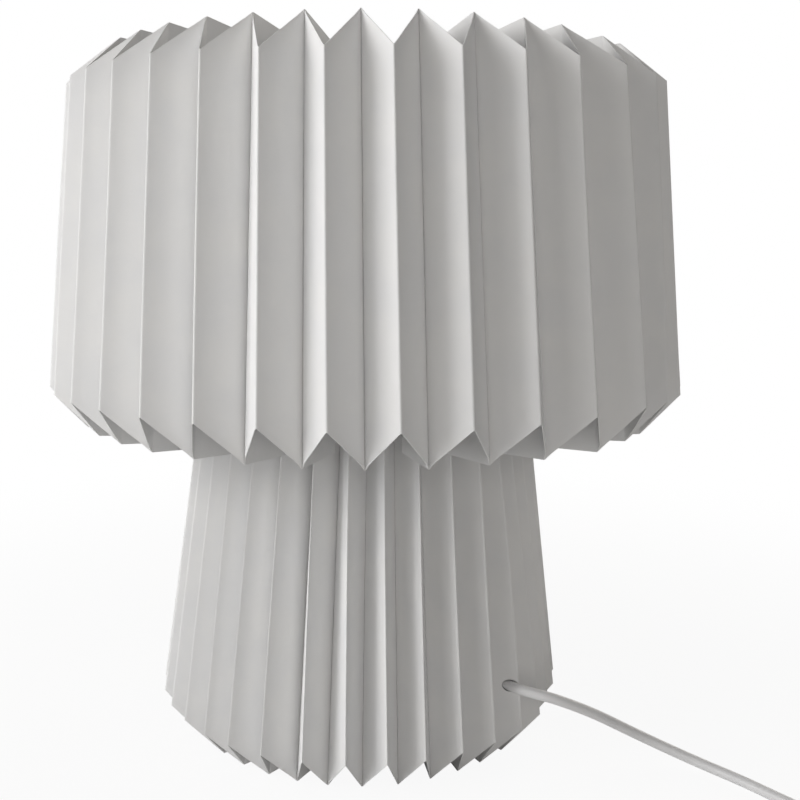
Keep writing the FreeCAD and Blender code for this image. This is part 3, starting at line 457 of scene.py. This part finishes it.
def folds_at(ring, low, high, share, azimuth, ridge):
    """Azimuth, and the (radius, height) of inner fold and of valley or ridge, at a share of the height."""
    azimuth = (azimuth + 180) % 360 - 180
    inner, outer = ([between(a, b, share) for a, b in zip(low[n], high[n])] for n in (0, 2 if ridge else 1))
    for start, end, radius in ring["notches"]:
        if start <= inner[1] <= end:
            inner[0] = max(inner[0], radius)
    outer[0] += ring["swell"](azimuth, share, ridge)
    outer[1] -= ring["sag"](azimuth, share, ridge)
    return azimuth + ring["drift"](azimuth, share, ridge), inner, outer


def height_at(radius, inner, valley, ridge):
    """Height of a row of points at a radius, straight between the folds."""
    near, far = (inner, valley) if radius <= valley[0] else (valley, ridge)
    return between(near[1], far[1], clamp((radius - near[0]) / (far[0] - near[0])))


def half_pleat(ring, ends, share, ridge_at, side):
    """Points from the inner fold to a ridge's rounding, before (side 1) or after (-1) the ridge."""
    ridge_now, inner, ridge = folds_at(ring, *ends, share, ridge_at, True)
    valley_now, _, valley = folds_at(ring, *ends, share, ridge_at - side * PITCH / 2, False)
    turn = (side * (ridge_now - valley_now) + 180) % 360 - 180
    tip = point(ridge[0], turn, 0)
    made = []
    for out, across in half_profile(inner[0], valley[0], (-tip.y, tip.x), ring["bend"]):
        radius = math.hypot(out, across)
        place = point(radius, valley_now + side * math.degrees(math.atan2(across, out)),
                      height_at(radius, inner, valley, ridge))
        place.x += ring["shift"] * (1 - share) * clamp((radius - inner[0]) / (valley[0] - inner[0]))
        made.append(place)
    return made


def strip_grid(ring, index):
    """Rows of points along the middle of one folded strip, from its low edge to its high edge."""
    pleats = PLEATS // ring["strips"]
    first = ring["phase"] + index * pleats * PITCH
    ends = fold_ends(ring)
    grid = []
    for share in row_shares(ring, *ends):
        line = []
        for k in range(pleats):
            ridge_at = first + k * PITCH
            before, after = (half_pleat(ring, ends, share, ridge_at, side) for side in (1, -1))
            ridge_now, _, ridge = folds_at(ring, *ends, share, ridge_at, True)
            tip = point(ridge[0], ridge_now, ridge[1])
            tip.x += ring["shift"] * (1 - share)
            nose = curve_between(before[-1], tip, after[-1], NOSE_POINTS)[1:]
            line += before + [Vector(place) for place in nose] + after[::-1]
        grid.append(line)
    return grid


def sheet_points(grid):
    """Corners of the sheet in metres, first those of one face of the paper and then the other's."""
    rows, count = len(grid), len(grid[0])
    made = []
    for side in (0.5, -0.5):
        for j, line in enumerate(grid):
            up, down = grid[min(j + 1, rows - 1)], grid[max(j - 1, 0)]
            for i, here in enumerate(line):
                across = line[min(i + 1, count - 1)] - line[max(i - 1, 0)]
                normal = across.cross(up[i] - down[i]).normalized()
                spread = 1.0
                if 0 < i < count - 1:
                    one = (line[i + 1] - here).normalized()
                    other = (here - line[i - 1]).normalized()
                    spread = min(1.0 / math.sqrt(max((1 + one.dot(other)) / 2, 0.01)), MITRE)
                made.append((here + normal * PAPER * side * spread) * MM)
    return made


def sheet_object(name, grid, body, node, slots):
    """A closed sheet from a grid of points on its middle, in millimetres."""
    rows, count = len(grid), len(grid[0])
    top, last = rows - 1, count - 1
    faces = []

    def corner(side, j, i):
        return side * rows * count + j * count + i

    def across(here, there):
        """Closes the sheet across its thickness, between two neighbours on its border."""
        faces.append((corner(0, *here), corner(0, *there), corner(1, *there), corner(1, *here)))

    for j in range(top):
        for i in range(last):
            face = [corner(0, j, i), corner(0, j, i + 1), corner(0, j + 1, i + 1), corner(0, j + 1, i)]
            faces += [face, [number + rows * count for number in reversed(face)]]
    broad = len(faces)
    for i in range(last):
        across((0, i + 1), (0, i))
        across((top, i), (top, i + 1))
    for j in range(top):
        across((j, 0), (j + 1, 0))
        across((j + 1, last), (j, last))

    mesh = bpy.data.meshes.new(name)
    mesh.from_pydata(sheet_points(grid), [], faces)
    for mat in slots:
        mesh.materials.append(mat)
    for face in mesh.polygons:
        edge = face.index >= broad
        face.use_smooth = not edge
        face.material_index = int(edge)
    mesh.set_sharp_from_angle(angle=math.radians(SHARP))
    piece = in_scene(name, mesh)
    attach(piece, body)
    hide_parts(node)
    return piece


def make_strips(ring, slots):
    """A ring's folded strips, each in the place of its solid."""
    return [sheet_object("%s_paper_%d" % (ring["name"], n + 1), strip_grid(ring, n), ring["body"],
                         "%s_strip_%d" % (ring["name"], n + 1), slots)
            for n in range(ring["strips"])]


def cut_hole(piece):
    """Bores the cord's hole through the foot's paper, along the cord."""
    bm = bmesh.new()
    bmesh.ops.create_cone(bm, cap_ends=True, segments=HOLE_SIDES, radius1=HOLE_R * MM, radius2=HOLE_R * MM,
                          depth=HOLE_LENGTH * MM)
    turned = Vector(HOLE_WAY).normalized().to_track_quat("Z", "Y").to_matrix().to_4x4()
    bm.transform(Matrix.Translation(Vector(LEAD_ROUTE[0]) * MM) @ turned)
    mesh = bpy.data.meshes.new("hole")
    bm.to_mesh(mesh)
    bm.free()
    mesh.materials.append(None)
    mesh.materials.append(piece.data.materials[1])
    for face in mesh.polygons:
        face.material_index = 1
    bore = in_scene("hole", mesh)
    cut = piece.modifiers.new("hole", "BOOLEAN")
    cut.operation = "DIFFERENCE"
    cut.solver = "EXACT"
    cut.object = bore
    bpy.context.view_layer.update()
    shape = piece.evaluated_get(bpy.context.evaluated_depsgraph_get())
    made = bpy.data.meshes.new_from_object(shape)
    piece.modifiers.clear()
    piece.data = made
    bpy.data.objects.remove(bore)


# ---------------------------------------------------------------- cord
def coil_points():
    """The coil's turns: a spiral in on the floor, a short climb, and a spiral out on top."""
    steps = COIL_TURNS * COIL_STEPS
    climb = COIL_STEPS // 3
    quarter = COIL_STEPS // 4
    points = []
    for k in range(1, steps):
        points.append((between(COIL_OUTER_R, COIL_INNER_R, k / steps), k, COIL_LOW))
    for k in range(steps + quarter):
        points.append((between(COIL_INNER_R, COIL_OUTER_R, clamp((k - climb) / (steps - climb))), k,
                       between(COIL_LOW, COIL_HIGH, clamp(k / climb))))
    # the spline runs at this share of its points' radius
    inside = 0.75 + 0.25 * math.cos(2 * math.pi / COIL_STEPS)
    made = []
    for radius, k, height in points:
        angle = 2 * math.pi * k / COIL_STEPS
        made.append((COIL_CENTRE[0] + radius / inside * math.sin(angle),
                     COIL_CENTRE[1] - radius / inside * math.cos(angle), height))
    return made


def make_cord(mat):
    """The free cord from the foot to the plug, in place of its solids."""
    route = LEAD_ROUTE + coil_points() + TAIL_ROUTE
    curve = bpy.data.curves.new("cord", "CURVE")
    curve.dimensions = "3D"
    spline = curve.splines.new("NURBS")
    spline.points.add(len(route) - 1)
    for knot, place in zip(spline.points, route):
        knot.co = (place[0] * MM, place[1] * MM, place[2] * MM, 1.0)
    spline.order_u = 3
    spline.use_endpoint_u = True
    spline.resolution_u = CORD_STEPS
    curve.bevel_depth = CORD_D / 2 * MM
    curve.bevel_resolution = CORD_ROUNDNESS
    curve.use_fill_caps = True
    piece = in_scene("cord", curve)
    curve.materials.append(mat)
    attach(piece, "stand")
    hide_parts("cord_lead", "cord_coil", "cord_to_switch", "cord_to_plug")


# ---------------------------------------------------------------- camera, floor and light
def make_camera():
    data = bpy.data.cameras.new("camera")
    data.lens = LENS
    data.sensor_width = SENSOR
    data.clip_start = CAMERA_NEAR
    camera = in_scene("camera", data)
    camera.matrix_world = (Matrix.Translation(CAMERA_PLACE)
                           @ Matrix.Rotation(math.radians(-CAMERA_RIGHT), 4, "Z")
                           @ Matrix.Rotation(math.radians(90 - CAMERA_DOWN), 4, "X")
                           @ Matrix.Rotation(math.radians(CAMERA_ROLL), 4, "Z"))
    bpy.context.scene.camera = camera


def seen_white(owner, shader, output, share=None):
    """What the camera and clear reflections see is white; a share socket lets some of the shader through."""
    path = add(owner, "ShaderNodeLightPath")
    seen = path.outputs["Is Camera Ray"]
    for ray in ("Is Glossy Ray", "Is Transmission Ray"):
        seen = joined(owner, "MAXIMUM", seen, path.outputs[ray])
    if share:
        seen = joined(owner, "MULTIPLY", seen, share)
    white = add(owner, "ShaderNodeEmission")
    white.inputs["Color"].default_value = (1, 1, 1, 1)
    mix = add(owner, "ShaderNodeMixShader")
    link(owner, seen, mix.inputs[0])
    link(owner, shader, mix.inputs[1])
    link(owner, white.outputs[0], mix.inputs[2])
    link(owner, mix.outputs[0], output)


def make_floor():
    """A pale floor that is plain white further out and keeps the lamp's shadow."""
    half = FLOOR_HALF
    mesh = bpy.data.meshes.new("floor")
    mesh.from_pydata([(-half, -half, 0), (half, -half, 0), (half, half, 0), (-half, half, 0)], [],
                     [(0, 1, 2, 3)])
    floor = in_scene("floor", mesh)
    mat = material("floor", (0.8, 0.8, 0.8), 0.9, Specular_IOR_Level=0.0)
    where = add(mat, "ShaderNodeTexCoord")
    far = add(mat, "ShaderNodeVectorMath", operation="LENGTH")
    link(mat, where.outputs["Object"], far.inputs[0])
    share = mapped(mat, far.outputs["Value"], FLOOR_NEAR, FLOOR_FAR, FLOOR_WHITE, 1.0,
                   interpolation_type="SMOOTHSTEP")
    seen_white(mat, shader_of(mat).outputs[0], mat.node_tree.nodes["Material Output"].inputs[0], share)
    mesh.materials.append(mat)


def make_world(strength, colour):
    """A faint even light, behind which the camera sees white."""
    world = bpy.data.worlds.new("world")
    world.use_nodes = True
    bpy.context.scene.world = world
    back = world.node_tree.nodes["Background"]
    back.inputs["Color"].default_value = (*colour, 1.0)
    back.inputs["Strength"].default_value = strength
    seen_white(world, back.outputs[0], world.node_tree.nodes["World Output"].inputs[0])


def area_light(name, azimuth, elevation, power, colour):
    """A square area light at a direction round the object's middle, aimed at it."""
    data = bpy.data.lights.new(name, "AREA")
    data.shape = "SQUARE"
    data.size = LIGHT_SIZE
    data.energy = power
    data.color = colour
    made = in_scene(name, data)
    middle = Vector(LIT_PLACE)
    rise = math.radians(elevation)
    made.location = middle + point(LIGHT_AWAY * math.cos(rise), azimuth, LIGHT_AWAY * math.sin(rise))
    made.rotation_euler = (middle - made.location).to_track_quat("-Z", "Y").to_euler()


def make_light():
    """A wide window on the left, and what the room sends back."""
    make_world(0.05, (1.0, 0.98, 0.96))
    area_light("window_far", -92.0, 25.0, 8.0, (1.0, 0.98, 0.96))
    area_light("window_middle", -72.0, 22.0, 17.0, (1.0, 0.99, 0.98))
    area_light("window_near", -52.0, 22.0, 7.0, (1.0, 0.99, 0.97))
    area_light("window_low", -66.0, 0.0, 7.0, (0.94, 0.96, 1.0))
    area_light("room_front", 10.0, 10.0, 8.0, (1.0, 0.97, 0.93))
    area_light("room_right", 135.0, 20.0, 14.0, (1.0, 0.95, 0.88))


# ---------------------------------------------------------------- build
bpy.context.scene.view_settings.view_transform = "Standard"
make_camera()
made_finishes = finishes()
dress_nodes(made_finishes)
make_cord(made_finishes["cord_white"])
paper = [paper_material(), edge_material()]
make_strips(SHADE, paper)
cut_hole(make_strips(FOOT, paper)[0])
make_floor()
make_light()
